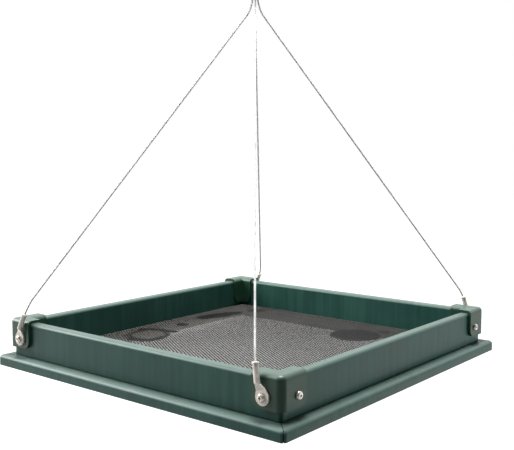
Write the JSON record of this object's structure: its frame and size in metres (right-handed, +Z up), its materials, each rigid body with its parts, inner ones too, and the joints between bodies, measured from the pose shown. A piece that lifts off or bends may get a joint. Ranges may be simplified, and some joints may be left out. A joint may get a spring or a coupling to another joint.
{
  "type": "hanging platform bird feeder",
  "caption": "Square hanging platform bird feeder: shallow walled tray with a mesh floor, wider base ledge, corner saddles and steel cables that meet at a sleeve and hanging ring.",
  "frame": {"origin": "top of the hanging ring's inside, where a hook carries the feeder", "axes": "+Z up, X along the front wall, -Y towards the front"},
  "size_m": [0.4064, 0.4064, 0.467],
  "materials": {
    "green_board": "satin dark green poly board with faint streaks along its face",
    "green_moulding": "smooth dark green moulded plastic",
    "dark_screen": "dark grey coated diamond mesh",
    "steel_fitting": "bright stainless steel",
    "steel_cable": "stranded stainless steel cable"
  },
  "bodies": {
    "ring": {"hanging_ring": "steel_fitting"},
    "tray": {"front_base_board": "green_board", "right_base_board": "green_board", "back_base_board": "green_board", "left_base_board": "green_board", "front_wall": "green_board", "right_wall": "green_board", "back_wall": "green_board", "left_wall": "green_board", "front_left_bracket": "green_moulding", "front_right_bracket": "green_moulding", "back_right_bracket": "green_moulding", "back_left_bracket": "green_moulding", "floor_screen": "dark_screen", "lug_screws": "steel_fitting", "bracket_screws": "steel_fitting", "base_screws": "steel_fitting", "front_left_cable": "steel_cable", "front_right_cable": "steel_cable", "back_right_cable": "steel_cable", "back_left_cable": "steel_cable", "crimp_sleeve": "steel_fitting", "top_loop": "steel_cable"},
    "front_left_lug": {"front_left_lug": "steel_fitting"},
    "front_right_lug": {"front_right_lug": "steel_fitting"},
    "back_right_lug": {"back_right_lug": "steel_fitting"},
    "back_left_lug": {"back_left_lug": "steel_fitting"}
  },
  "joints": [
    {"name": "tray_swing", "type": "hinge", "parent": "ring", "child": "tray", "pos_m": [0, 0, -0.0215], "axis": [1, 0, 0], "range_deg": [-40, 40]},
    {"name": "front_left_lug_turn", "type": "hinge", "parent": "tray", "child": "front_left_lug", "pos_m": [-0.1733, -0.19415, -0.4323], "axis": [0, 1, 0], "range_deg": [-25, 25], "deforming": ["front_left_cable"]},
    {"name": "front_right_lug_turn", "type": "hinge", "parent": "tray", "child": "front_right_lug", "pos_m": [0.1733, -0.19415, -0.4323], "axis": [0, 1, 0], "range_deg": [-25, 25], "deforming": ["front_right_cable"]},
    {"name": "back_right_lug_turn", "type": "hinge", "parent": "tray", "child": "back_right_lug", "pos_m": [0.1733, 0.19415, -0.4323], "axis": [0, 1, 0], "range_deg": [-25, 25], "deforming": ["back_right_cable"]},
    {"name": "back_left_lug_turn", "type": "hinge", "parent": "tray", "child": "back_left_lug", "pos_m": [-0.1733, 0.19415, -0.4323], "axis": [0, 1, 0], "range_deg": [-25, 25], "deforming": ["back_left_cable"]}
  ]
}
